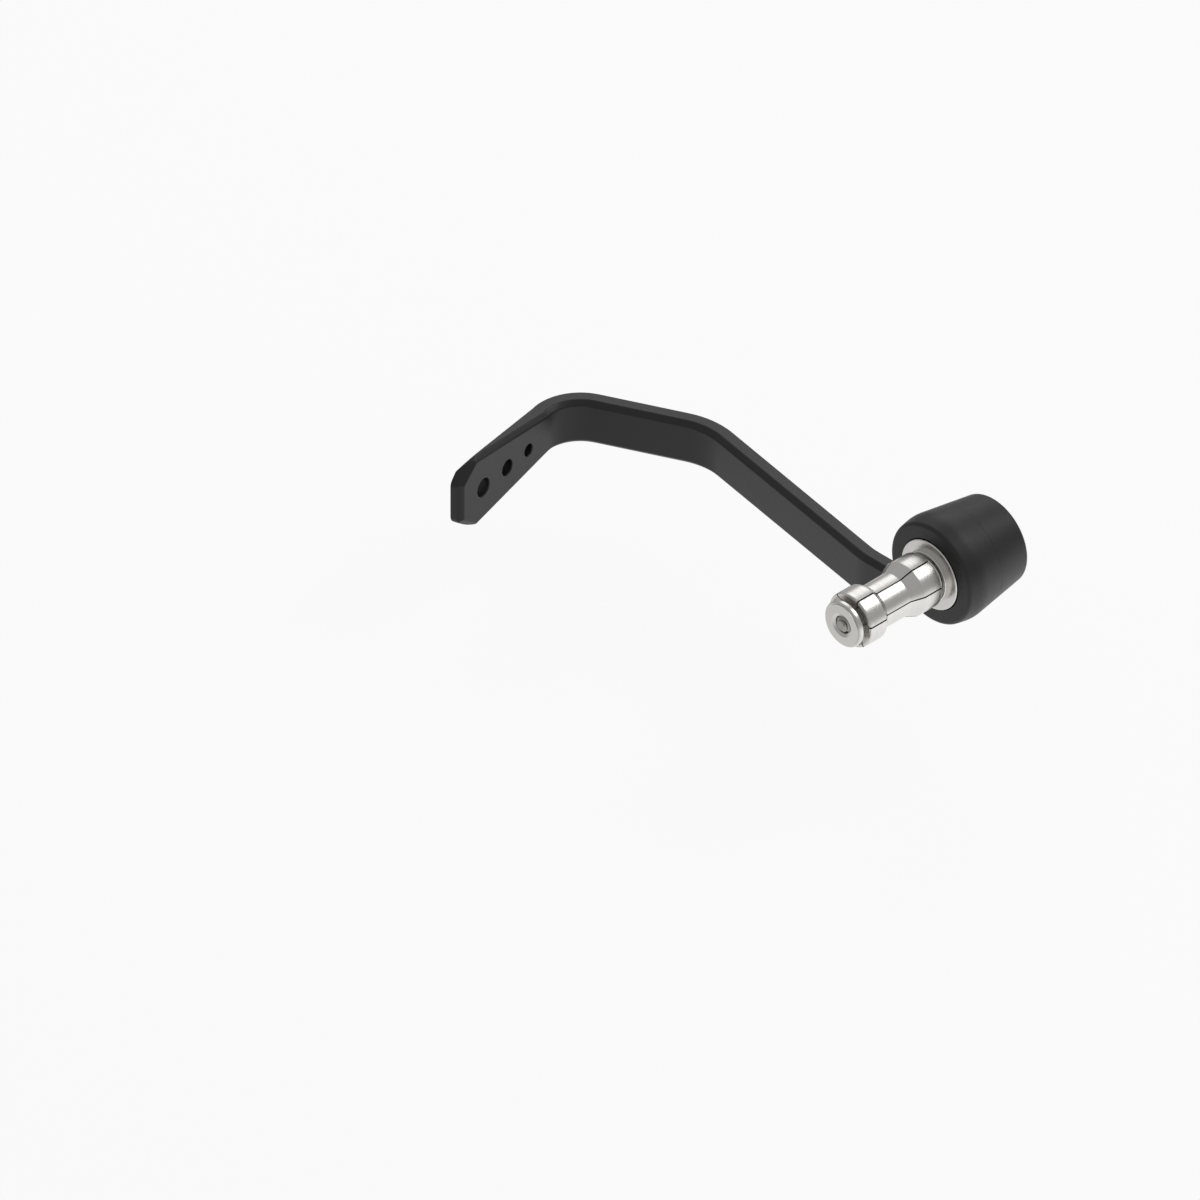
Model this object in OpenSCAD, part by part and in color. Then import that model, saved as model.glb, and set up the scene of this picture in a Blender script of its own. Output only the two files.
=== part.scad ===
// Lever guard for the right-hand end of a motorcycle handlebar.
// Origin: on the bolt axis, in the face that seats on the end of the handlebar tube.
// +X points outboard along the handlebar, +Y forward and +Z up.

/* [Bobbin] */
// Distance from the seat face to the outer face of the bobbin
bobbin_outer_x = 28; // [26:0.5:32]
// Distance from the seat face to the inner face of the bobbin
bobbin_inner_x = 0.6; // [0.3:0.1:1.2]
// Distance from the outer face to the girth seam
seam_depth = 13.4; // [12:0.2:14.5]
// Largest radius, at the belly
belly_r = 17.93; // [17:0.1:20]
// Distance of the belly from the seat face
belly_x = 6.1; // [5:0.1:7]
// Radius where the flank meets the outer face
outer_end_r = 14.75; // [14.5:0.05:16]
// Radius where the flank meets the inner face
inner_end_r = 16.95; // [16:0.05:17.5]
// Rounding of the belly
belly_round = 12; // [6:1:16]
// Rounding of the outer rim
outer_rim_round = 1.3; // [0.6:0.1:1.6]
// Rounding of the inner rim
inner_rim_round = 1.3; // [0.6:0.1:1.6]

/* [Blade] */
// Height of the bar
blade_h = 15.6; // [14:0.1:17]
// Thickness of the bar
blade_t = 8.15; // [7.5:0.05:9.5]
// Width of the outer edges' bevels, across the bar
outer_bevel = 2.9; // [2.3:0.1:3.4]
// Height of the outer edges' bevels
outer_bevel_h = 4.15; // [3:0.05:4.6]
// Bevel of the inner edges
inner_bevel = 1.5; // [0.6:0.1:1.8]
// Distance of the bar's outer flat from the seat face, at its root
root_x = 16.3; // [16:0.1:17.5]
// Drop of the bar's mid-plane below the bolt axis
blade_drop = 23.35; // [22:0.05:26]
// Distance in front of the bolt axis where the arm turns level
arm_end_y = 26.6; // [23:0.1:28]
// Distance in front of the bolt axis of the first corner
first_corner_y = 37; // [34:0.1:44]
// Length from the first to the second corner
long_run = 83.7; // [70:0.1:100]
// Length from the second to the third corner
middle_run = 51.4; // [45:0.1:60]
// Length from the third corner to the end of the tip
tip_run = 59.7; // [55:0.1:70]
// Outboard heading of the long run, in degrees from forward
long_heading = 10; // [5:0.5:12]
// Inboard heading of the middle run, in degrees from forward
middle_heading = -25; // [-30:0.5:-20]
// Heading of the tip's outer side, in degrees from forward
tip_heading = -105.3; // [-108:0.1:-98]
// Bend radius of the first and second corners, at the outer edge of the top
wide_bend_r = 27; // [20:1:35]
// Bend radius of the third corner, at the outer edge of the top
tip_bend_r = 16.5; // [14:0.5:18]
// Bend radius of the arm, at its mid-line
arm_bend_r = 8.6; // [8:0.1:12]
// Radius of the ring round the sleeve
hub_r = 12; // [11:0.1:12.5]

/* [Tip] */
// Angle at which the tip grows in height, above and below
tip_flare = 7.5; // [5:0.1:9]
// Angle between the tip's inner and outer sides
tip_taper = 5.2; // [3:0.1:6]
// Length of the corners that are cut off the end
tip_cut = 7.8; // [6:0.1:9]
// Height of the end between the cut corners
tip_end_h = 13.8; // [11:0.1:15]
// Rounding where the cut corners meet the flared edges
shoulder_round = 12; // [2:1:14]
// Rounding where the cut corners meet the end
tip_round = 3; // [1:0.5:4]
// Distance from the end to the largest hole
first_hole_inset = 11.7; // [11.5:0.1:14]
// Distance from the largest hole to the middle one
first_hole_pitch = 12.6; // [10:0.1:13]
// Distance from the middle hole to the smallest
second_hole_pitch = 11.2; // [9:0.1:12]
// Diameter of the largest hole
large_hole_d = 6.2; // [5:0.1:7]
// Diameter of the middle hole
middle_hole_d = 5.3; // [4:0.1:6]
// Diameter of the smallest hole
small_hole_d = 4.1; // [3:0.1:5]

/* [Sleeve and bolt] */
// Thread diameter of the bolt
bolt_d = 6; // [6:0.5:6.5]
// Length of the bolt under its head
bolt_len = 59.4; // [58.6:0.2:62]
// Diameter of the bolt's head
bolt_head_d = 10; // [9:0.1:10.3]
// Height of the bolt's head
bolt_head_h = 6; // [5:0.1:6.3]
// Width across the flats of the bolt's socket
socket_af = 5; // [4:0.5:6]
// Depth of the bolt's socket
socket_depth = 3; // [2:0.1:4]
// Depth of the bolt's head below the sleeve's face
head_recess = 0.4; // [0.2:0.1:1]
// Diameter of the sleeve's head
sleeve_head_d = 16.5; // [15:0.1:17.5]
// Length of the sleeve's head
sleeve_head_len = 8; // [7.6:0.1:9]
// Diameter of the sleeve's neck
sleeve_neck_d = 12.5; // [11:0.1:14]
// Diameter of the sleeve's counterbore
counterbore_d = 10.8; // [10.5:0.1:12]
// Number of punched dots in the sleeve's face
dot_count = 8; // [4:1:12]
// Diameter of a punched dot
dot_d = 0.6; // [0.3:0.1:0.8]

/* [Bar end fitting] */
// Diameter of the flange
flange_d = 23.6; // [22:0.1:26]
// Thickness of the flange
flange_t = 2.4; // [2:0.1:3]
// Diameter of the flange's boss
boss_d = 17.2; // [15:0.1:18]
// Height of the flange's boss
boss_h = 1.5; // [1:0.1:2]
// Diameter of the cones where they leave boss and nut
cone_d = 14; // [12.5:0.1:14.5]
// Slope of the cones and of the segments' mouths, from the bolt axis
cone_angle = 26; // [22:0.5:30]
// Length of each cone
cone_len = 5; // [4:0.1:5.4]
// Outer diameter of the segments' bands
band_d = 18.2; // [17:0.1:20]
// Outer diameter of the segments' waist
waist_d = 14.6; // [13.5:0.1:16]
// Bore of the closed segments
collet_bore_d = 8.4; // [7.5:0.1:9]
// Distance from the seat face to the near end of the segments
collet_near = 3.2; // [2.6:0.1:3.8]
// Distance from the seat face to the far end of the segments
collet_far = 33.7; // [33.2:0.1:34.2]
// Distance from the seat face to the far end of the near band
near_band_end = 10.6; // [9.5:0.1:11.5]
// Distance from the seat face to the near end of the far band
far_band_start = 27; // [26:0.1:28]
// Axial length of the slope from the near band to the waist
near_slope = 4.3; // [3:0.1:5]
// Axial length of the slope from the far band to the waist
far_slope = 2; // [1:0.1:3]
// Width of the segments' far end face, round the mouth
mouth_rim = 0.9; // [0.7:0.1:1.2]
// Depth of the bevel inside that face
mouth_depth = 1.2; // [0.8:0.1:1.4]
// Number of segments
segment_count = 6; // [6:1:6]
// Width of the slits at the bands
slit_w = 0.5; // [0.3:0.1:1]
// Turn of the first slit, in degrees from forward towards up
slit_turn = 51; // [0:1:60]
// Distance from the seat face to the end face of the nut
nut_far = 37.4; // [36.5:0.1:37.6]
// Diameter of the nut's rim
nut_d = 15.3; // [14.5:0.1:16]
// Thickness of the nut's rim
nut_t = 1.8; // [1.5:0.1:2.2]

/* [Fits] */
// Gap round the sleeve and the blade's root
fit_gap = 0.25; // [0.1:0.05:0.4]
// Gap round the bolt's shank
bolt_gap = 0.25; // [0.1:0.05:0.4]
// Gap between the bolt's thread and the nut's
thread_gap = 0.05; // [0.02:0.01:0.1]
// Thickness of the label ring
label_t = 0.3; // [0.2:0.05:0.5]
// Width of the bare rim round the label
label_rim = 0.4; // [0.2:0.1:1]

/* [Hidden] */

// Facets of a full circle, and the largest turn of one step of a rounded corner
$fn = 96;
arc_step = 9;
// How far a cutting shape runs past the face that it cuts
cut_over = 1;
// Size of a cutting shape that only has to be larger than what it cuts
cut_size = 200;
// Overlap of the bar's neighbouring stretches, which makes them one
lap = 0.02;
// How far the faces of the ring stand proud of the arm's, and the ring's bevels
hub_proud = 0.05;
hub_inner_bevel = 1.2;
hub_outer_bevel = 2;
// Rounding of the slopes and ends of the segments
slope_round = 1;
end_round = 0.4;
// Chamfers of the bolt's head and tip
head_chamfer = 0.3;
tip_chamfer = 0.9;
// Groove and dish in the nut's end face
rim_groove_w = 0.2;
rim_groove_depth = 0.4;
rim_ring_w = 0.5;
rim_round = 0.45;
dish_w = 1;
dish_depth = 0.5;

blade_half = blade_h / 2;
inner_side = blade_t - outer_bevel;
seam_x = bobbin_outer_x - seam_depth;
edge_x = root_x - outer_bevel;
head_seat_x = bobbin_outer_x - sleeve_head_len;
bolt_seat_x = bobbin_outer_x - head_recess - bolt_head_h;
label_r = outer_end_r - outer_rim_round - label_rim;

// The arm leaves the ring on a straight line that the bend then turns level
arm_centre_z = arm_bend_r - blade_drop;
arm_centre_far = norm([arm_end_y, arm_centre_z]);
arm_angle = asin(arm_bend_r / arm_centre_far) - atan2(arm_centre_z, arm_end_y);
arm_len = sqrt(pow(arm_centre_far, 2) - pow(arm_bend_r, 2));

// A heading is the angle from forward, towards outboard
function ahead(h) = [sin(h), cos(h)];
// Length of straight that a bend takes from each side of its corner
function bend_reach(r, turn) = r * tan(abs(turn) / 2);

corner_1 = [edge_x, first_corner_y];
corner_2 = corner_1 + long_run * ahead(long_heading);
corner_3 = corner_2 + middle_run * ahead(middle_heading);
reach_1 = bend_reach(wide_bend_r, long_heading);
reach_2 = bend_reach(wide_bend_r, middle_heading - long_heading);
reach_3 = bend_reach(tip_bend_r, tip_heading - middle_heading);
tip_len = tip_run - reach_3;

// Corner of an outline as an arc from one side to the other; p is [x, y, radius]
function corner_arc(a, p, b) =
    let (
        at = [p.x, p.y],
        u = ([a.x, a.y] - at) / norm([a.x, a.y] - at),
        w = ([b.x, b.y] - at) / norm([b.x, b.y] - at),
        inside = acos(u * w),
        turn = 180 - inside,
        centre = at + (u + w) / norm(u + w) * p[2] / sin(inside / 2),
        from = at + u * p[2] / tan(inside / 2) - centre,
        side = u.x * w.y - u.y * w.x > 0 ? -1 : 1,
        steps = max(2, ceil(turn / arc_step))
    )
    p[2] == 0 ? [at] : [
        for (k = [0 : steps])
            let (t = side * turn * k / steps)
            centre + [from.x * cos(t) - from.y * sin(t), from.x * sin(t) + from.y * cos(t)]
    ];
// Outline through points given as [x, y, radius of the corner]
function rounded(points) =
    let (n = len(points))
    [for (i = [0 : n - 1]) each corner_arc(points[(i + n - 1) % n], points[i], points[(i + 1) % n])];

// Turns local Z to +X, local X to +Y and local Y to +Z
module along_bar() {
    rotate([90, 0, 90]) children();
}

// Round body about the bolt axis between two places on X
module round_bar(from_x, to_x, r) {
    along_bar() translate([0, 0, from_x]) cylinder(r = r, h = to_x - from_x);
}

// Bar's section: X towards its outer side from the edge of the top flat, Y up from the mid-plane
module blade_section() {
    polygon([
        [outer_bevel, blade_half - outer_bevel_h], [0, blade_half],
        [inner_bevel - inner_side, blade_half], [-inner_side, blade_half - inner_bevel],
        [-inner_side, inner_bevel - blade_half], [inner_bevel - inner_side, -blade_half],
        [0, -blade_half], [outer_bevel, outer_bevel_h - blade_half]
    ]);
}

// Places a local frame on the bar's path: X to its outer side, Y ahead, Z up
module on_path(at, heading) {
    translate([at.x, at.y, -blade_drop]) rotate([0, 0, -heading]) children();
}

module straight(at, heading, length) {
    on_path(at, heading) translate([0, length + lap, 0]) rotate([90, 0, 0])
        linear_extrude(length + 2 * lap) blade_section();
}

// Bend that ends at a point of the path; a positive turn goes to the outer side
module bend(at, heading, turn, r) {
    on_path(at, heading) mirror([turn > 0 ? 1 : 0, 0, 0]) mirror([0, 1, 0]) translate([-r, 0, 0])
        rotate_extrude(angle = abs(turn)) translate([r, 0]) mirror([turn > 0 ? 1 : 0, 0])
        blade_section();
}

// Arm from the ring down and forwards, and the bend that turns it level
module arm() {
    along_bar() {
        rotate([0, 0, -arm_angle]) translate([arm_len + lap, 0, edge_x]) rotate([0, -90, 0])
            linear_extrude(arm_len + lap) blade_section();
        translate([arm_end_y, arm_centre_z, edge_x]) rotate([0, 0, -90 - arm_angle])
            rotate_extrude(angle = arm_angle) translate([arm_bend_r, 0]) rotate(90)
            blade_section();
    }
}

// Bevelled ring that the sleeve passes through
module hub() {
    near = -inner_side - hub_proud;
    far = outer_bevel + hub_proud;
    along_bar() translate([0, 0, edge_x]) rotate_extrude() polygon([
        [0, near], [hub_r - hub_inner_bevel, near], [hub_r, near + hub_inner_bevel],
        [hub_r, far - hub_outer_bevel], [hub_r - hub_outer_bevel, far], [0, far]
    ]);
}

// Half-space that bevels an edge of the tip; the edge rises, turns and leans by the angles given
module bevel_cut(at, rise, turn, lean) {
    translate(at) rotate([rise, 0, turn]) rotate([0, lean, 0])
        translate([-cut_size / 2, -cut_size / 2, 0]) cube(cut_size);
}

// Bevel on the tip's inner side, along the edge that rises through a point of its outline
module inner_cut(y, z, rise) {
    at_y = y + inner_bevel * sin(rise);
    at_z = z - inner_bevel * cos(rise);
    bevel_cut([at_y * tan(tip_taper) - inner_side, at_y, at_z], rise, -tip_taper, -45);
}

// Flared and tapered end of the bar, in the local frame of its path
module tip() {
    cut_y = tip_len - tip_cut;
    shoulder_half = blade_half + cut_y * tan(tip_flare);
    cut_slope = atan2(shoulder_half - tip_end_h / 2, tip_cut);
    difference() {
        intersection() {
            rotate([90, 0, 90]) translate([0, 0, -inner_side]) linear_extrude(blade_t)
                polygon(rounded([
                    [0, blade_half, 0], [0, -blade_half, 0],
                    [cut_y, -shoulder_half, shoulder_round], [tip_len, -tip_end_h / 2, tip_round],
                    [tip_len, tip_end_h / 2, tip_round], [cut_y, shoulder_half, shoulder_round]
                ]));
            linear_extrude(cut_size, center = true) polygon([
                [outer_bevel, 0], [outer_bevel, tip_len],
                [tip_len * tan(tip_taper) - inner_side, tip_len], [-inner_side, 0]
            ]);
        }
        for (up = [0, 1]) mirror([0, 0, up]) {
            bevel_cut([0, 0, blade_half], tip_flare, 0, atan2(outer_bevel_h, outer_bevel));
            bevel_cut([-inner_side, 0, blade_half - inner_bevel], tip_flare, -tip_taper, -45);
            inner_cut(tip_len, tip_end_h / 2, -cut_slope);
        }
        inner_cut(tip_len, 0, -90);
    }
}

module tip_hole(inset, d) {
    reach = tip_len - inset;
    translate([reach * tan(tip_taper) - inner_side, reach, 0]) rotate([0, 90, -tip_taper])
        cylinder(d = d, h = cut_size, center = true);
}

module guard_blade() {
    start_2 = corner_1 + reach_1 * ahead(long_heading);
    start_3 = corner_2 + reach_2 * ahead(middle_heading);
    tip_start = corner_3 + reach_3 * ahead(tip_heading);
    color([0.16, 0.16, 0.17]) difference() {
        union() {
            hub();
            arm();
            straight([edge_x, arm_end_y], 0, first_corner_y - reach_1 - arm_end_y);
            bend(start_2, long_heading, long_heading, wide_bend_r);
            straight(start_2, long_heading, long_run - reach_1 - reach_2);
            bend(start_3, middle_heading, middle_heading - long_heading, wide_bend_r);
            straight(start_3, middle_heading, middle_run - reach_2 - reach_3);
            bend(tip_start, tip_heading, tip_heading - middle_heading, tip_bend_r);
            on_path(tip_start, tip_heading) tip();
        }
        round_bar(root_x - blade_t - cut_over, root_x + cut_over, sleeve_neck_d / 2 + fit_gap);
        on_path(tip_start, tip_heading) {
            tip_hole(first_hole_inset, large_hole_d);
            tip_hole(first_hole_inset + first_hole_pitch, middle_hole_d);
            tip_hole(first_hole_inset + first_hole_pitch + second_hole_pitch, small_hole_d);
        }
    }
}

// Outside of the whole bobbin, cut to the stretch between two places on X
module bobbin_stretch(from_x, to_x) {
    along_bar() rotate_extrude() intersection() {
        polygon(rounded([
            [0, bobbin_inner_x, 0], [inner_end_r, bobbin_inner_x, inner_rim_round],
            [belly_r, belly_x, belly_round], [outer_end_r, bobbin_outer_x, outer_rim_round],
            [0, bobbin_outer_x, 0]
        ]));
        translate([0, from_x]) square([belly_r, to_x - from_x]);
    }
}

// Room for the blade's ring and for the arm where it leaves the bobbin
module root_room() {
    near_x = root_x - blade_t - fit_gap;
    room_t = blade_t + 2 * fit_gap;
    round_bar(near_x, near_x + room_t, hub_r + fit_gap);
    along_bar() rotate([0, 0, -arm_angle]) translate([0, -blade_half - fit_gap, near_x])
        cube([arm_len + belly_r, blade_h + 2 * fit_gap, room_t]);
}

module neck_room() {
    round_bar(bobbin_inner_x - cut_over, bobbin_outer_x, sleeve_neck_d / 2 + fit_gap);
}

module bobbin_inner() {
    color([0.11, 0.11, 0.11]) difference() {
        bobbin_stretch(bobbin_inner_x, seam_x);
        root_room();
        neck_room();
        round_bar(bobbin_inner_x - cut_over, flange_t, flange_d / 2 + fit_gap);
    }
}

module bobbin_outer() {
    color([0.12, 0.12, 0.12]) difference() {
        bobbin_stretch(seam_x, bobbin_outer_x);
        root_room();
        neck_room();
        round_bar(head_seat_x, bobbin_outer_x + cut_over, sleeve_head_d / 2 + fit_gap);
        round_bar(bobbin_outer_x - label_t, bobbin_outer_x + cut_over, label_r);
    }
}

module face_label() {
    color([0.08, 0.08, 0.08]) difference() {
        round_bar(bobbin_outer_x - label_t, bobbin_outer_x, label_r);
        round_bar(head_seat_x, bobbin_outer_x + cut_over, sleeve_head_d / 2 + 2 * fit_gap);
    }
}

module centre_sleeve() {
    bore_r = bolt_d / 2 + bolt_gap;
    dot_ring_r = (counterbore_d + sleeve_head_d) / 4;
    color([0.78, 0.77, 0.75]) difference() {
        union() {
            round_bar(flange_t, head_seat_x + cut_over, sleeve_neck_d / 2);
            round_bar(head_seat_x, bobbin_outer_x, sleeve_head_d / 2);
        }
        round_bar(flange_t - cut_over, bobbin_outer_x, bore_r);
        round_bar(bolt_seat_x, bobbin_outer_x + cut_over, counterbore_d / 2);
        along_bar() for (k = [0 : dot_count - 1]) rotate(k * 360 / dot_count)
            translate([dot_ring_r, 0, bobbin_outer_x - dot_d / 2]) cylinder(d = dot_d, h = dot_d);
    }
}

module clamp_bolt() {
    head_r = bolt_head_d / 2;
    shank_r = bolt_d / 2;
    head_top = bolt_seat_x + bolt_head_h;
    tip_x = bolt_seat_x - bolt_len;
    color([0.8, 0.79, 0.77]) difference() {
        along_bar() rotate_extrude() polygon([
            [0, tip_x], [shank_r - tip_chamfer, tip_x], [shank_r, tip_x + tip_chamfer],
            [shank_r, bolt_seat_x], [head_r, bolt_seat_x], [head_r, head_top - head_chamfer],
            [head_r - head_chamfer, head_top], [0, head_top]
        ]);
        along_bar() translate([0, 0, head_top - socket_depth])
            cylinder(d = socket_af / cos(30), h = socket_depth + cut_over, $fn = 6);
    }
}

// Radius of the wedging cones at a distance from where they start
function cone_r(reach) = cone_d / 2 - reach * tan(cone_angle);

module bar_end_flange() {
    color([0.8, 0.79, 0.77]) along_bar() rotate_extrude() polygon(rounded([
        [bolt_d / 2 + bolt_gap, flange_t, 0], [bolt_d / 2 + bolt_gap, -boss_h - cone_len, 0],
        [cone_r(cone_len), -boss_h - cone_len, 0], [cone_d / 2, -boss_h, 0],
        [boss_d / 2, -boss_h, end_round], [boss_d / 2, 0, 0], [flange_d / 2, 0, end_round],
        [flange_d / 2, flange_t, 0]
    ]));
}

module cone_nut() {
    face = -nut_far;
    seat = nut_t - nut_far;
    bore_r = bolt_d / 2 + thread_gap;
    disc_r = nut_d / 2 - rim_ring_w - rim_groove_w;
    ring_x = face + rim_groove_depth;
    color([0.8, 0.79, 0.77]) along_bar() rotate_extrude() polygon(rounded([
        [bore_r, face + dish_depth, 0], [bore_r + dish_w, face, 0], [disc_r, face, 0],
        [disc_r, ring_x, 0], [disc_r + rim_groove_w, ring_x, 0],
        [nut_d / 2, ring_x, rim_round], [nut_d / 2, seat, 0],
        [cone_d / 2, seat, 0], [cone_r(cone_len), seat + cone_len, 0], [bore_r, seat + cone_len, 0]
    ]));
}

// One of the loose segments that the two cones wedge apart inside the handlebar
module collet_segment(number) {
    near = -collet_near;
    far = -collet_far;
    near_cone = -boss_h;
    far_cone = nut_t - nut_far;
    bore_r = collet_bore_d / 2;
    taper_len = (cone_d / 2 - bore_r) / tan(cone_angle);
    pitch = 360 / segment_count;
    slit_angle = 2 * asin(slit_w / band_d);
    color([0.82, 0.81, 0.79]) along_bar()
        rotate(slit_turn + (number - 1) * pitch + slit_angle / 2)
        rotate_extrude(angle = pitch - slit_angle) polygon(rounded([
            [cone_r(near_cone - near), near, 0], [band_d / 2, near, end_round],
            [band_d / 2, -near_band_end, slope_round], [waist_d / 2, -near_band_end - near_slope, slope_round],
            [waist_d / 2, far_slope - far_band_start, slope_round], [band_d / 2, -far_band_start, slope_round],
            [band_d / 2, far, end_round], [band_d / 2 - mouth_rim, far, 0],
            [cone_r(far + mouth_depth - far_cone), far + mouth_depth, 0],
            [bore_r, far_cone + taper_len, 0], [bore_r, near_cone - taper_len, 0]
        ]));
}

guard_blade();
bobbin_inner();
bobbin_outer();
centre_sleeve();
clamp_bolt();
bar_end_flange();
collet_segment(1);  // collet_segment_1
collet_segment(2);  // collet_segment_2
collet_segment(3);  // collet_segment_3
collet_segment(4);  // collet_segment_4
collet_segment(5);  // collet_segment_5
collet_segment(6);  // collet_segment_6
cone_nut();
face_label();
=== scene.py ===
"""Brake lever guard: a bent bar in front of a lever, on a bobbin that a wedge holds in a handlebar's end."""

import math

import bmesh
import bpy
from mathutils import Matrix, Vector


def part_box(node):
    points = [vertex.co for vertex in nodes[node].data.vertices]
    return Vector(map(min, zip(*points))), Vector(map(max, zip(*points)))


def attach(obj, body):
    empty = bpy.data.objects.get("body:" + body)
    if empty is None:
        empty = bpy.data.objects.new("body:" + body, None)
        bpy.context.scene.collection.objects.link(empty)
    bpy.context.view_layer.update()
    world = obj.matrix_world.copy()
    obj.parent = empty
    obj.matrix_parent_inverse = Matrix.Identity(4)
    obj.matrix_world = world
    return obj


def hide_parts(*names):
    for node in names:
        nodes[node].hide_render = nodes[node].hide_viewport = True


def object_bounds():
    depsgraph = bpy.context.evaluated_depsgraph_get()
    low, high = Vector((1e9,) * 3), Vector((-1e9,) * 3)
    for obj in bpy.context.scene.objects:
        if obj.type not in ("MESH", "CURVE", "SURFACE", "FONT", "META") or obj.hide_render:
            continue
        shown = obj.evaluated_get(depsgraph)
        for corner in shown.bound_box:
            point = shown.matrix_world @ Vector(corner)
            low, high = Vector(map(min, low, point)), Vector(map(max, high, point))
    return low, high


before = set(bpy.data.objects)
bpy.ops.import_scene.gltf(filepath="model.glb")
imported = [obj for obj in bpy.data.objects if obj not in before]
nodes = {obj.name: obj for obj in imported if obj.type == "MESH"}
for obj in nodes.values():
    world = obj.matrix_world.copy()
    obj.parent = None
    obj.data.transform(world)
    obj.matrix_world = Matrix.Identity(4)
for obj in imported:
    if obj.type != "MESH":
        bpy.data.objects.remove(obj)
cad_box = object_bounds()

MM = 0.001

# Guard blade: one bent bar of aluminium, milled with bevelled edges, bead blasted and coated
# satin black. Its ring is clamped inside the bobbin. The blasting breaks every edge, so a
# soft thin line of light runs along each of them.
BLADE_EDGE = 0.35 * MM
BLADE_BLACK = "#161617"
BLADE_GREY = "#1c1c1d"
BLADE_ROUGHNESS = (0.36, 0.46)
COAT_GRAIN = 0.3 * MM
COAT_RELIEF = 0.02 * MM
COAT_CLOUD = 11 * MM
SHARP_TURN = math.radians(20)
FLAT_TURN = math.radians(0.3)
SAME_POINT = 0.01 * MM
SLIVER = 0.01 * MM
TINY_FACE = 0.1 * MM * MM
FACE_AREA_ONLY = 100
NOISE_SPAN = {"From_Min": 0.3, "From_Max": 0.7}


def linear(colour):
    """Shader colour from one that is written as sRGB hex."""
    parts = [int(colour[i : i + 2], 16) / 255 for i in (1, 3, 5)]
    return (*(p / 12.92 if p <= 0.04045 else ((p + 0.055) / 1.055) ** 2.4 for p in parts), 1.0)


def add(tree, kind, settings=None, **feeds):
    """Adds a node with its settings; each feed is a value or a socket, named by its input, or in0, in1."""
    made = tree.nodes.new(kind)
    for name, value in (settings or {}).items():
        setattr(made, name, value)
    for name, value in feeds.items():
        socket = made.inputs[int(name[2:])] if name[:2] == "in" else made.inputs[name.replace("_", " ")]
        if isinstance(value, bpy.types.NodeSocket):
            tree.links.new(value, socket)
        else:
            socket.default_value = value
    return made


def new_surface(name, roughness, metallic=0.0, ior=1.5):
    """New material: its tree, its shader and the Object coordinates that its patterns are laid in."""
    made = bpy.data.materials.new(name)
    made.use_nodes = True
    shader = made.node_tree.nodes["Principled BSDF"]
    shader.inputs["Roughness"].default_value = roughness
    shader.inputs["Metallic"].default_value = metallic
    shader.inputs["IOR"].default_value = ior
    return made, made.node_tree, shader, add(made.node_tree, "ShaderNodeTexCoord").outputs["Object"]


def toned(tree, shader, share, first, second):
    """Colour that runs from the first to the second tone with the share."""
    tone = add(tree, "ShaderNodeMix", {"data_type": "RGBA"}, in0=share, in6=linear(first), in7=linear(second))
    tree.links.new(tone.outputs[2], shader.inputs["Base Color"])


def grained(tree, shader, noise, depth, roughness=None):
    """Relief of a noise, and gloss that varies with it where two roughnesses are given."""
    relief = add(tree, "ShaderNodeBump", Height=noise, Distance=depth, Strength=1.0)
    tree.links.new(relief.outputs["Normal"], shader.inputs["Normal"])
    if roughness:
        gloss = add(tree, "ShaderNodeMapRange", Value=noise, To_Min=roughness[0], To_Max=roughness[1], **NOISE_SPAN)
        tree.links.new(gloss.outputs["Result"], shader.inputs["Roughness"])


def satin_black_coat():
    """Satin black coat on blasted aluminium: a fine grain, and a faint cloudiness in its tone."""
    made, tree, shader, place = new_surface("satin_black_coat_on_aluminium", roughness=0.5)
    pits = add(tree, "ShaderNodeTexNoise", Vector=place, Scale=1 / COAT_GRAIN, Detail=2.0)
    cloud = add(tree, "ShaderNodeTexNoise", Vector=place, Scale=1 / COAT_CLOUD, Detail=3.0)
    toned(tree, shader, cloud.outputs["Fac"], BLADE_BLACK, BLADE_GREY)
    grained(tree, shader, pits.outputs["Fac"], COAT_RELIEF, BLADE_ROUGHNESS)
    return made


def edges_broken(node, name, width, material, segments=3, hidden_r=0.0):
    """Copy of a frame node with its sharp edges rounded, but for those within hidden_r of the bolt's axis."""
    mesh = bmesh.new()
    mesh.from_mesh(nodes[node].data)
    bmesh.ops.remove_doubles(mesh, verts=mesh.verts, dist=SAME_POINT)
    bmesh.ops.dissolve_degenerate(mesh, dist=SLIVER, edges=mesh.edges)
    bmesh.ops.dissolve_limit(mesh, angle_limit=FLAT_TURN, verts=mesh.verts, edges=mesh.edges)
    broken = mesh.edges.layers.float.new("bevel_weight_edge")
    for edge in mesh.edges:
        least = min(face.calc_area() for face in edge.link_faces)
        if edge.calc_face_angle(0.0) > SHARP_TURN and least > TINY_FACE:
            edge[broken] = float(max(point.co.yz.length for point in edge.verts) > hidden_r)
    data = bpy.data.meshes.new(name)
    mesh.to_mesh(data)
    mesh.free()
    piece = bpy.data.objects.new(name, data)
    bpy.context.scene.collection.objects.link(piece)
    data.materials.append(material)
    data.shade_smooth()
    soften = piece.modifiers.new("broken_edges", "BEVEL")
    soften.width = width
    soften.segments = segments
    soften.limit_method = "WEIGHT"
    soften.use_clamp_overlap = False
    soften.loop_slide = False
    even = piece.modifiers.new("flat_faces", "WEIGHTED_NORMAL")
    even.mode = "FACE_AREA"
    even.weight = FACE_AREA_ONLY
    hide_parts(node)
    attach(piece, "root")


bobbin_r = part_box("bobbin_inner")[1].z
edges_broken("guard_blade", "blade_bar", BLADE_EDGE, satin_black_coat(), hidden_r=bobbin_r)

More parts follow.
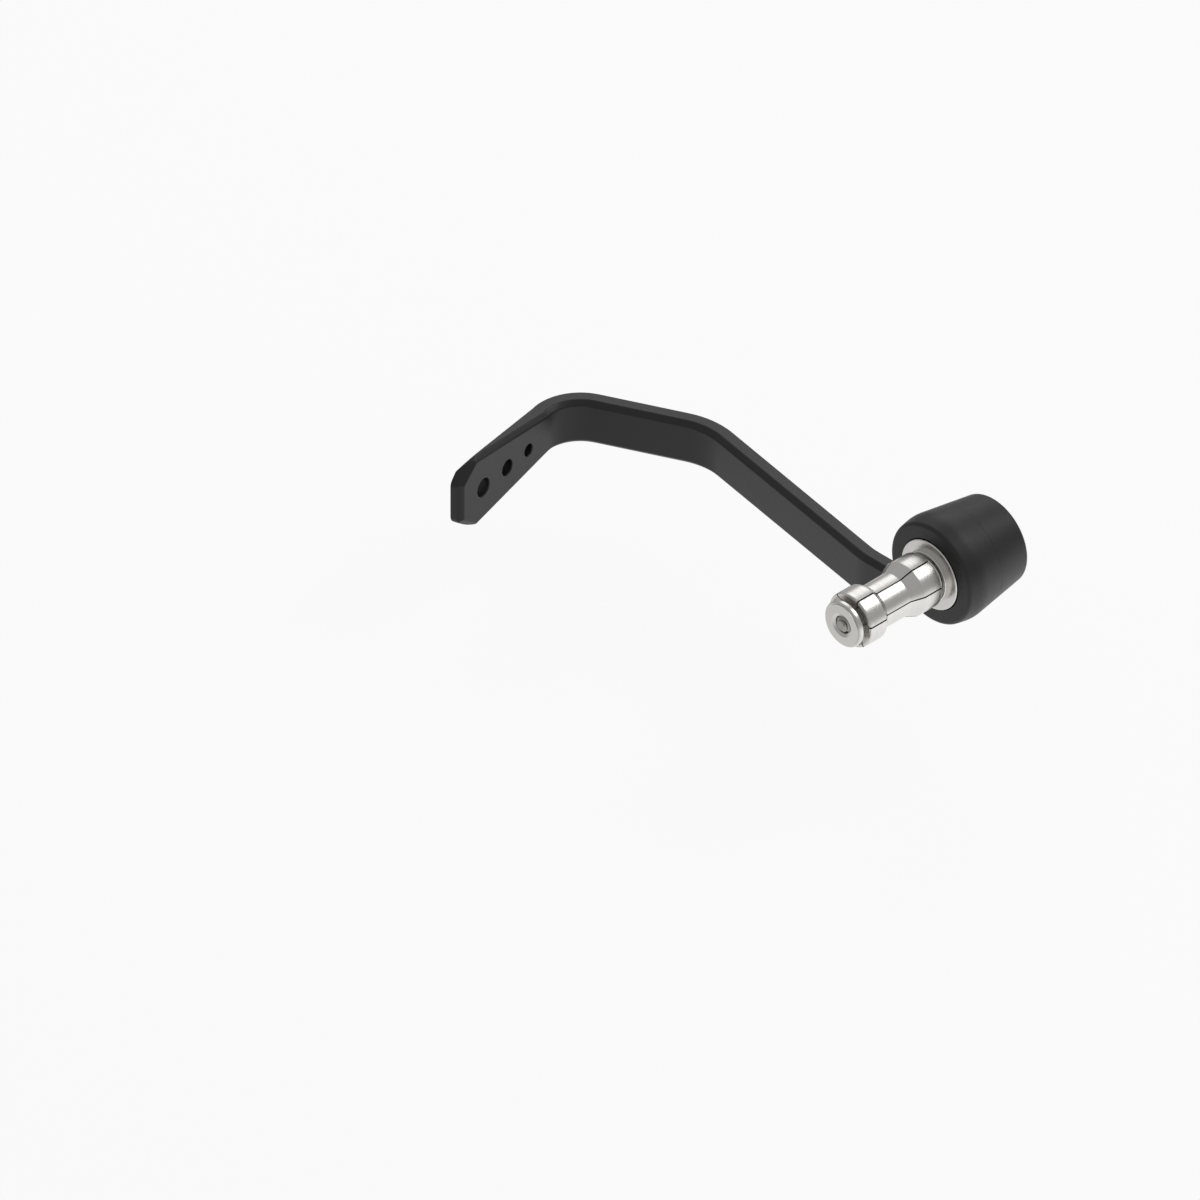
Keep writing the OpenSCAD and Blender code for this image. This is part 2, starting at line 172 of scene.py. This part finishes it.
# Bobbin: two bodies of black nylon, turned from bar and left matt, that close over the bar's
# ring and meet at a seam round the girth. The tool leaves fine rings on the faces and flanks,
# which a light tumbling has blurred to a soft even grain.
BOBBIN_EDGE = 0.06 * MM
NYLON_BLACK = "#131313"
NYLON_GREY = "#1d1d1e"
NYLON_ROUGHNESS = (0.42, 0.54)
NYLON_GRAIN = 0.45 * MM
NYLON_RELIEF = 0.03 * MM
NYLON_CLOUD = 6 * MM


def turned_nylon():
    """Black nylon, turned and tumbled: matt with a broad soft highlight and a slight cloudy grain."""
    made, tree, shader, place = new_surface("black_nylon", roughness=0.55, ior=1.53)
    grain = add(tree, "ShaderNodeTexNoise", Vector=place, Scale=1 / NYLON_GRAIN, Detail=4.0, Roughness=0.6)
    cloud = add(tree, "ShaderNodeTexNoise", Vector=place, Scale=1 / NYLON_CLOUD, Detail=4.0, Roughness=0.6)
    toned(tree, shader, cloud.outputs["Fac"], NYLON_BLACK, NYLON_GREY)
    grained(tree, shader, grain.outputs["Fac"], NYLON_RELIEF, NYLON_ROUGHNESS)
    return made


nylon = turned_nylon()
edges_broken("bobbin_inner", "bobbin_inner_half", BOBBIN_EDGE, nylon, 2)
edges_broken("bobbin_outer", "bobbin_outer_half", BOBBIN_EDGE, nylon, 2)

# Bar-end fitting: flange, six loose segments and nut, all turned from stainless bar about the
# bolt's axis. The lathe leaves rings so fine that they only stretch the highlights, so they are
# drawn coarser than the real ones. On the flange and segments, bores and slits are painted dark
# grey and given a duller gloss, as painted shade of these recesses.
STEEL = "#e1dfdc"
STEEL_SHADE = "#d4d1cd"
STEEL_ROUGHNESS = (0.24, 0.34)
RECESS_PAINTED_SHADE = "#2e2b29"
RECESS_ROUGHNESS = 0.6
LATHE_PITCH = 0.22 * MM
LATHE_DEPTH = 0.0025 * MM
OPEN_SPAN = {"From_Min": 0.45, "From_Max": 0.6}
INWARD_WEIGHT = 0.8


def turned_metal(name, light, shade, roughness, painted_recess_shade=False):
    """Metal turned about the bolt's axis: rings that run round it, whose tone and gloss vary a little. With
    painted_recess_shade, faces that look into a bore or a slit are painted dark grey and duller, as painted shade.
    """
    made, tree, shader, place = new_surface(name, roughness[0], metallic=1.0)
    parts = add(tree, "ShaderNodeSeparateXYZ", Vector=place)
    across = add(tree, "ShaderNodeCombineXYZ", Y=parts.outputs["Y"], Z=parts.outputs["Z"])
    radius = add(tree, "ShaderNodeVectorMath", {"operation": "LENGTH"}, in0=across.outputs["Vector"])
    rings_at = add(tree, "ShaderNodeCombineXYZ", X=parts.outputs["X"], Y=radius.outputs["Value"])
    rings = add(tree, "ShaderNodeTexNoise", {"noise_dimensions": "2D"}, Vector=rings_at.outputs["Vector"],
                Scale=1 / LATHE_PITCH, Detail=3.0, Roughness=0.6)
    toned(tree, shader, rings.outputs["Fac"], light, shade)
    grained(tree, shader, rings.outputs["Fac"], LATHE_DEPTH, roughness)
    # Bores and slits get painted shade: a dark grey colour and a duller gloss, mixed in where the faces look
    # inwards.
    if painted_recess_shade:
        open_faces = open_face_share(tree, across.outputs["Vector"])
        for name, recess_value, kind, pins in (
            ("Base Color", linear(RECESS_PAINTED_SHADE), {"data_type": "RGBA"}, ("in6", "in7", 2)),
            ("Roughness", RECESS_ROUGHNESS, {}, ("in2", "in3", 0)),
        ):
            bright = shader.inputs[name].links[0].from_socket
            mixed = add(tree, "ShaderNodeMix", kind, in0=open_faces, **{pins[0]: recess_value, pins[1]: bright})
            tree.links.new(mixed.outputs[pins[2]], shader.inputs[name])
    return made


def open_face_share(tree, across):
    """1 where a face looks outwards or along the bolt's axis, 0 in a bore or a slit, where the shade is painted."""
    facing = add(tree, "ShaderNodeTexCoord").outputs["Normal"]
    along = add(tree, "ShaderNodeSeparateXYZ", Vector=facing).outputs["X"]
    spoke = add(tree, "ShaderNodeVectorMath", {"operation": "NORMALIZE"}, in0=across).outputs["Vector"]
    outward = add(tree, "ShaderNodeVectorMath", {"operation": "DOT_PRODUCT"}, in0=facing, in1=spoke)
    outward = outward.outputs["Value"]
    inward = add(tree, "ShaderNodeMath", {"operation": "MINIMUM"}, in0=outward, in1=0.0).outputs["Value"]
    flat = add(tree, "ShaderNodeMath", {"operation": "ABSOLUTE"}, in0=along).outputs["Value"]
    end = add(tree, "ShaderNodeMath", {"operation": "MULTIPLY_ADD"}, in0=inward, in1=INWARD_WEIGHT, in2=flat)
    best = add(tree, "ShaderNodeMath", {"operation": "MAXIMUM"}, in0=outward, in1=end.outputs["Value"])
    return add(tree, "ShaderNodeMapRange", Value=best.outputs["Value"], **OPEN_SPAN).outputs["Result"]


def finished_node(node, material):
    """A frame node whose shape is right, in its own material."""
    nodes[node].data.materials.clear()
    nodes[node].data.materials.append(material)


# The flange and segments carry painted shade in their bores and slits.
stainless = turned_metal("turned_stainless_steel", STEEL, STEEL_SHADE, STEEL_ROUGHNESS, painted_recess_shade=True)
for node in nodes:
    if node == "bar_end_flange" or node.startswith("collet_segment"):
        finished_node(node, stainless)
finished_node("cone_nut", turned_metal("turned_stainless_nut", STEEL, STEEL_SHADE, STEEL_ROUGHNESS))

# Centre sleeve: turned from aluminium bar and left bright. It carries the bar's ring and
# shows as a silver ring in the bobbin's outer face, with eight punched dots round it.
ALUMINIUM = "#dcdbda"
ALUMINIUM_SHADE = "#d0cfce"
ALUMINIUM_ROUGHNESS = (0.24, 0.36)

aluminium = turned_metal("turned_aluminium", ALUMINIUM, ALUMINIUM_SHADE, ALUMINIUM_ROUGHNESS)
finished_node("centre_sleeve", aluminium)

# Clamp bolt: an M6 x 60 socket cap screw of stainless steel, cold headed and with a rolled
# thread of 24 mm. It runs through sleeve and flange and pulls the nut's cone into the segments.
BOLT_STEEL = "#b3b0ab"
BOLT_SHADE = "#98948e"
BOLT_ROUGHNESS = (0.2, 0.32)
STEPS_ROUND = 48
ROWS_PER_TURN = 8
SPARE_TURNS = 2.0
THREAD_PITCH = 1.0 * MM
THREAD_DEPTH = 0.6 * MM
THREAD_TURNS = 24
THREAD_FLANK = {"From_Min": 0.12, "From_Max": 0.88}
ROW_NUDGE = 0.001
RUN_IN_PER_PITCH = 4.0
SHANK_R = 3.0 * MM
TIP_CHAMFER = 1.4 * MM
HEAD_H = 6.0 * MM
HEAD_R = 5.0 * MM
HEAD_CHAMFER = 0.35 * MM
FILLET = 0.25 * MM
SOCKET_AF = 5.0 * MM
SOCKET_DEPTH = 3.0 * MM
SOCKET_LEAD = 0.2 * MM
MERGE = 0.002 * MM


def rolled_thread():
    """Geometry Nodes tree: a grid rolled into a tube and sheared by the pitch, so that its rows are the thread."""
    tree = bpy.data.node_groups.new("rolled_thread", "GeometryNodeTree")
    for name in ("Tip", "Turns", "Pitch", "Radius", "Depth", "Chamfer"):
        tree.interface.new_socket(name, in_out="INPUT", socket_type="NodeSocketFloat")
    tree.interface.new_socket("Material", in_out="INPUT", socket_type="NodeSocketMaterial")
    tree.interface.new_socket("Geometry", in_out="OUTPUT", socket_type="NodeSocketGeometry")
    given = add(tree, "NodeGroupInput").outputs

    def math_of(operation, a, b=None, c=None):
        feeds = {f"in{i}": value for i, value in enumerate((a, b, c)) if value is not None}
        return add(tree, "ShaderNodeMath", {"operation": operation}, **feeds).outputs["Value"]

    drawn = math_of("ADD", given["Turns"], SPARE_TURNS)
    rows = math_of("MULTIPLY_ADD", drawn, float(ROWS_PER_TURN), 1.0)
    grid = add(tree, "GeometryNodeMeshGrid", Size_X=1.0, Size_Y=1.0, Vertices_X=rows,
               Vertices_Y=STEPS_ROUND + 1)
    at = add(tree, "ShaderNodeSeparateXYZ", Vector=add(tree, "GeometryNodeInputPosition").outputs["Position"])
    row = math_of("MULTIPLY", math_of("ADD", at.outputs["X"], 0.5), drawn)
    way_round = math_of("ADD", at.outputs["Y"], 0.5)
    start = math_of("SUBTRACT", given["Tip"], given["Pitch"])
    sheared = math_of("MULTIPLY_ADD", math_of("ADD", row, way_round), given["Pitch"], start)
    end = math_of("MULTIPLY_ADD", given["Turns"], given["Pitch"], given["Tip"])
    along = math_of("MAXIMUM", math_of("MINIMUM", sheared, end), given["Tip"])
    within = math_of("FRACT", math_of("ADD", row, ROW_NUDGE))
    middle = math_of("ABSOLUTE", math_of("MULTIPLY_ADD", within, 2.0, -1.0))
    groove = add(tree, "ShaderNodeMapRange", Value=middle, To_Min=1.0, To_Max=0.0, **THREAD_FLANK)
    to_end = math_of("DIVIDE", math_of("SUBTRACT", end, along), given["Pitch"])
    run_out = add(tree, "ShaderNodeClamp", Value=to_end)
    share = math_of("MULTIPLY", groove.outputs["Result"], run_out.outputs["Result"])
    cut = math_of("MULTIPLY", share, given["Depth"])
    threaded = math_of("SUBTRACT", given["Radius"], cut)
    from_tip = math_of("SUBTRACT", along, given["Tip"])
    turns_in = math_of("DIVIDE", from_tip, given["Pitch"])
    run_in = add(tree, "ShaderNodeClamp", Value=math_of("MULTIPLY", turns_in, RUN_IN_PER_PITCH))
    cone = math_of("ADD", math_of("SUBTRACT", given["Radius"], given["Chamfer"]), from_tip)
    nicked = math_of("SUBTRACT", cone, math_of("MULTIPLY", cut, run_in.outputs["Result"]))
    radius = math_of("MINIMUM", threaded, nicked)
    angle = math_of("MULTIPLY", way_round, 2 * math.pi)
    spot = add(tree, "ShaderNodeCombineXYZ", X=along, Y=math_of("MULTIPLY", radius, math_of("COSINE", angle)),
               Z=math_of("MULTIPLY", radius, math_of("SINE", angle)))
    tube = add(tree, "GeometryNodeSetPosition", Geometry=grid.outputs["Mesh"], Position=spot.outputs["Vector"])
    welded = add(tree, "GeometryNodeMergeByDistance", Geometry=tube.outputs["Geometry"], Distance=MERGE)
    whole = add(tree, "GeometryNodeRealizeInstances", Geometry=welded.outputs["Geometry"])
    dressed = add(tree, "GeometryNodeSetMaterial", Geometry=whole.outputs["Geometry"],
                  Material=given["Material"])
    add(tree, "NodeGroupOutput", Geometry=dressed.outputs["Geometry"])
    return tree


def thread_mesh(tip, material):
    """The thread as a plain mesh."""
    tree = rolled_thread()
    holder = bpy.data.objects.new("thread", bpy.data.meshes.new("thread"))
    bpy.context.scene.collection.objects.link(holder)
    rolled = holder.modifiers.new("thread", "NODES")
    rolled.node_group = tree
    sizes = {"Tip": tip, "Turns": float(THREAD_TURNS), "Pitch": THREAD_PITCH, "Radius": SHANK_R,
             "Depth": THREAD_DEPTH, "Chamfer": TIP_CHAMFER, "Material": material}
    for socket in tree.interface.items_tree:
        if socket.name in sizes:
            rolled[socket.identifier] = sizes[socket.name]
    seen = holder.evaluated_get(bpy.context.evaluated_depsgraph_get())
    mesh = bpy.data.meshes.new_from_object(seen)
    bpy.data.objects.remove(holder)
    return mesh


def hex_r(turn):
    """Radius of the socket's hexagon, whose corners lie at every sixth of a turn."""
    return SOCKET_AF / 2 / math.cos(turn % (math.pi / 3) - math.pi / 6)


def ring(mesh, x, radius):
    """Ring of points about the bolt's axis; the radius is a length or a function of the turn."""
    turns = [2 * math.pi * k / STEPS_ROUND for k in range(STEPS_ROUND)]
    sizes = [radius(t) if callable(radius) else radius for t in turns]
    return [mesh.verts.new((x, r * math.cos(t), r * math.sin(t))) for t, r in zip(turns, sizes)]


def socket_cap_screw(material):
    """The whole bolt: thread, shank and head in one closed mesh."""
    tip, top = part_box("clamp_bolt")[0].x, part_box("clamp_bolt")[1].x
    seat = top - HEAD_H
    mesh = bmesh.new()
    mesh.from_mesh(thread_mesh(tip, material))
    profile = (
        (tip + THREAD_TURNS * THREAD_PITCH, SHANK_R),
        (seat - FILLET, SHANK_R),
        (seat, SHANK_R + FILLET),
        (seat, HEAD_R - FILLET),
        (seat + FILLET, HEAD_R),
        (top - HEAD_CHAMFER, HEAD_R),
        (top, HEAD_R - HEAD_CHAMFER),
        (top, lambda turn: hex_r(turn) + SOCKET_LEAD),
        (top - SOCKET_LEAD, hex_r),
        (top - SOCKET_DEPTH, hex_r),
    )
    rings = [ring(mesh, x, radius) for x, radius in profile]
    for near, far in zip(rings, rings[1:]):
        for k in range(STEPS_ROUND):
            after = (k + 1) % STEPS_ROUND
            mesh.faces.new((near[k], near[after], far[after], far[k]))
    mesh.faces.new(rings[-1])
    mesh.faces.new(ring(mesh, tip, SHANK_R - TIP_CHAMFER))
    bmesh.ops.remove_doubles(mesh, verts=mesh.verts, dist=MERGE)
    bmesh.ops.recalc_face_normals(mesh, faces=mesh.faces)
    data = bpy.data.meshes.new("cap_screw")
    mesh.to_mesh(data)
    mesh.free()
    data.materials.append(material)
    data.shade_smooth()
    data.set_sharp_from_angle(angle=SHARP_TURN)
    screw = bpy.data.objects.new("cap_screw", data)
    bpy.context.scene.collection.objects.link(screw)
    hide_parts("clamp_bolt")
    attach(screw, "root")


socket_cap_screw(turned_metal("stainless_bolt_steel", BOLT_STEEL, BOLT_SHADE, BOLT_ROUGHNESS))

# Label: a thin ring of black film laid in the bobbin's outer face round the sleeve, bare,
# with a smoother and slightly glossier skin than the nylon round it.
LABEL_BLACK = "#19191a"
LABEL_GREY = "#202021"
LABEL_ROUGHNESS = 0.36
FILM_GRAIN = 0.8 * MM
FILM_RELIEF = 0.006 * MM


def bare_film():
    """Black vinyl film: even, with the faint orange peel of its lacquer in the reflections."""
    made, tree, shader, place = new_surface("black_vinyl_film", LABEL_ROUGHNESS, ior=1.52)
    peel = add(tree, "ShaderNodeTexNoise", Vector=place, Scale=1 / FILM_GRAIN, Detail=1.0)
    toned(tree, shader, peel.outputs["Fac"], LABEL_BLACK, LABEL_GREY)
    grained(tree, shader, peel.outputs["Fac"], FILM_RELIEF)
    return made


finished_node("face_label", bare_film())

# Studio: a pale floor under the guard, one broad soft light above and behind it and another on
# its right, so that the bevel that faces away from both of them stays dark.
FLOOR_GAP = 30 * MM
FLOOR_SIZE = 12.0
FLOOR_WHITE = "#f7f7f6"
FLOOR_ROUGHNESS = 0.9
FLOOR_GLOW = 0.9
FALL_OFF = {"From_Min": -0.2, "From_Max": 0.15, "To_Min": 0.76, "To_Max": 1.3}
FAR_OFF = {"From_Min": 0.15, "From_Max": 0.7, "To_Min": 1.0, "To_Max": 0.4}
ROOM_GREY = "#b0b0b0"
KEY = {"toward": (0.6, 0.5, 0.62), "size": 0.8, "far": 1.4, "watts": 2.2}
FILL = {"toward": (0.58, -0.35, 0.72), "size": 0.6, "far": 1.3, "watts": 3.0}
VIEW_CENTRE = Vector((-56.5, 84.4, -23.2)) * MM
VIEW_WIDTH = 363.6 * MM
VIEW_AZIMUTH = math.radians(-45)
VIEW_ELEVATION = math.asin(1 / math.sqrt(3))
CAMERA_FAR = 5.0
CAMERA_REACH = 100.0


def pale_floor(z):
    """Matt white card that glows evenly white to the camera; to gloss it is a painted glow that grows with x - y
    and fades with distance, and the metals reflect it.
    """
    made = bpy.data.materials.new("white_card")
    made.use_nodes = True
    tree = made.node_tree
    card = tree.nodes["Principled BSDF"]
    card.inputs["Base Color"].default_value = linear(FLOOR_WHITE)
    card.inputs["Roughness"].default_value = FLOOR_ROUGHNESS
    card.inputs["Specular IOR Level"].default_value = 0.0
    path = add(tree, "ShaderNodeLightPath")
    place = add(tree, "ShaderNodeTexCoord").outputs["Object"]
    parts = add(tree, "ShaderNodeSeparateXYZ", Vector=place)
    across = add(tree, "ShaderNodeMath", {"operation": "SUBTRACT"}, in0=parts.outputs["X"], in1=parts.outputs["Y"])
    fall_off = add(tree, "ShaderNodeMapRange", Value=across.outputs["Value"], **FALL_OFF)
    distance = add(tree, "ShaderNodeVectorMath", {"operation": "LENGTH"}, in0=place)
    far_off = add(tree, "ShaderNodeMapRange", Value=distance.outputs["Value"], **FAR_OFF)
    lit = add(tree, "ShaderNodeMath", {"operation": "MULTIPLY"},
              in0=fall_off.outputs["Result"], in1=far_off.outputs["Result"])
    strength = add(tree, "ShaderNodeMix", in0=path.outputs["Is Camera Ray"], in2=lit.outputs["Value"], in3=1.0)
    glow = add(tree, "ShaderNodeEmission", Color=linear("#ffffff"), Strength=strength.outputs[0])
    seen = add(tree, "ShaderNodeMath", {"operation": "MAXIMUM"},
               in0=path.outputs["Is Camera Ray"], in1=path.outputs["Is Glossy Ray"])
    seen_all = add(tree, "ShaderNodeMath", {"operation": "MAXIMUM"},
                   in0=seen.outputs["Value"], in1=path.outputs["Is Transmission Ray"])
    share = add(tree, "ShaderNodeMath", {"operation": "MULTIPLY"}, in0=seen_all.outputs["Value"], in1=FLOOR_GLOW)
    mixed = add(tree, "ShaderNodeMixShader", in0=share.outputs["Value"], in1=card.outputs["BSDF"],
                in2=glow.outputs["Emission"])
    tree.links.new(mixed.outputs["Shader"], tree.nodes["Material Output"].inputs["Surface"])
    half = FLOOR_SIZE / 2
    corners = [(-half, -half, z), (half, -half, z), (half, half, z), (-half, half, z)]
    data = bpy.data.meshes.new("floor")
    data.from_pydata(corners, [], [(0, 1, 2, 3)])
    data.materials.append(made)
    floor = bpy.data.objects.new("floor", data)
    bpy.context.scene.collection.objects.link(floor)


def softbox(name, toward, size, far, watts):
    """Square softbox that looks at the middle of the guard."""
    lamp = bpy.data.lights.new(name, "AREA")
    lamp.shape = "SQUARE"
    lamp.size = size
    lamp.energy = watts
    stand = bpy.data.objects.new(name, lamp)
    way = Vector(toward).normalized()
    middle = (cad_box[0] + cad_box[1]) / 2
    stand.location = middle + way * far
    stand.rotation_euler = (-way).to_track_quat("-Z", "Y").to_euler()
    bpy.context.scene.collection.objects.link(stand)


pale_floor(cad_box[0].z - FLOOR_GAP)
softbox("key", **KEY)
softbox("fill", **FILL)

world = bpy.data.worlds.new("studio")
bpy.context.scene.world = world
world.use_nodes = True
world.node_tree.nodes["Background"].inputs["Color"].default_value = linear(ROOM_GREY)
world.node_tree.nodes["Background"].inputs["Strength"].default_value = 1.0

camera_data = bpy.data.cameras.new("camera")
camera_data.type = "ORTHO"
camera_data.ortho_scale = VIEW_WIDTH
camera_data.clip_end = CAMERA_REACH
camera = bpy.data.objects.new("camera", camera_data)
back = Vector((
    math.sin(VIEW_AZIMUTH) * math.cos(VIEW_ELEVATION),
    -math.cos(VIEW_AZIMUTH) * math.cos(VIEW_ELEVATION),
    math.sin(VIEW_ELEVATION),
))
camera.location = VIEW_CENTRE + back * CAMERA_FAR
camera.rotation_mode = "QUATERNION"
camera.rotation_quaternion = (-back).to_track_quat("-Z", "Y")
bpy.context.scene.collection.objects.link(camera)
bpy.context.scene.camera = camera
bpy.context.scene.view_settings.view_transform = "Standard"
